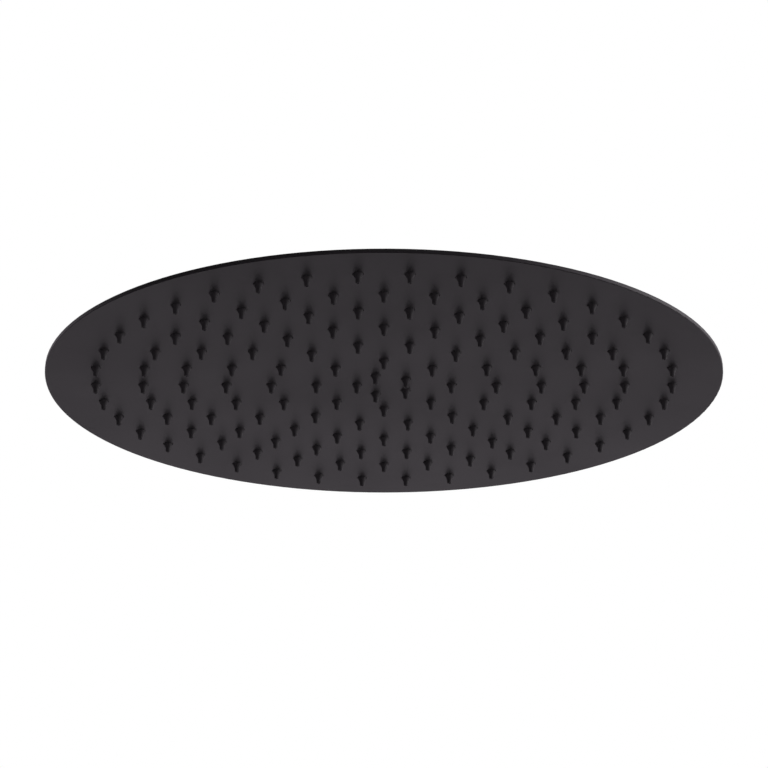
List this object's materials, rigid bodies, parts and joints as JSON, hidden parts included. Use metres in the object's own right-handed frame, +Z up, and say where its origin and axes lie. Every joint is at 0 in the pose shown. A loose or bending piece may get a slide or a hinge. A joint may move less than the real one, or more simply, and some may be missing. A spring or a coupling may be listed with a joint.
{
  "type": "rain shower head",
  "caption": "Slim round matte black overhead shower head: a flat spray plate with rings of soft nozzles, a shallow domed back and a swivel ball inlet with a female pipe thread.",
  "frame": {"origin": "centre of the inlet socket's mouth", "axes": "+Z up along the inlet thread, out of its mouth; the spray plate faces -Z; one nozzle of every ring but the innermost lies on +X"},
  "size_m": [0.3, 0.3, 0.0556],
  "materials": {
    "black_sheet_steel": "matte black coat on sheet steel",
    "black_turned_brass": "matte black coat on turned brass",
    "black_silicone": "soft black silicone",
    "bare_steel": "bare stainless steel",
    "white_seat_plastic": "white acetal",
    "seal_rubber": "black rubber",
    "regulator_plastic": "pale grey moulded plastic"
  },
  "bodies": {
    "inlet": {"swivel_ball": "black_turned_brass", "inlet_washer": "seal_rubber", "filter_screen": "bare_steel", "flow_regulator": "regulator_plastic", "regulator_ring": "seal_rubber"},
    "lower_seat": {"lower_seat_ring": "white_seat_plastic"},
    "upper_seat": {"upper_seat_ring": "white_seat_plastic"},
    "head": {"face_plate": "black_sheet_steel", "back_plate": "black_sheet_steel", "nozzle_ring_1": "black_silicone", "nozzle_ring_2": "black_silicone", "nozzle_ring_3": "black_silicone", "nozzle_ring_4": "black_silicone", "nozzle_ring_5": "black_silicone", "nozzle_ring_6": "black_silicone", "nozzle_ring_7": "black_silicone", "inner_tie_studs": "bare_steel", "outer_tie_studs": "bare_steel", "inlet_hub": "black_turned_brass", "collar_nut": "black_turned_brass"}
  },
  "joints": [
    {"name": "tilt_front", "type": "hinge", "parent": "inlet", "child": "lower_seat", "pos_m": [0, 0, -0.02999], "axis": [1, 0, 0], "range_deg": [-15, 15]},
    {"name": "tilt_side", "type": "hinge", "parent": "lower_seat", "child": "upper_seat", "pos_m": [0, 0, -0.02999], "axis": [0, 1, 0], "range_deg": [-15, 15]},
    {"name": "swivel", "type": "hinge", "parent": "upper_seat", "child": "head", "pos_m": [0, 0, -0.02999], "axis": [0, 0, 1], "continuous": true}
  ]
}
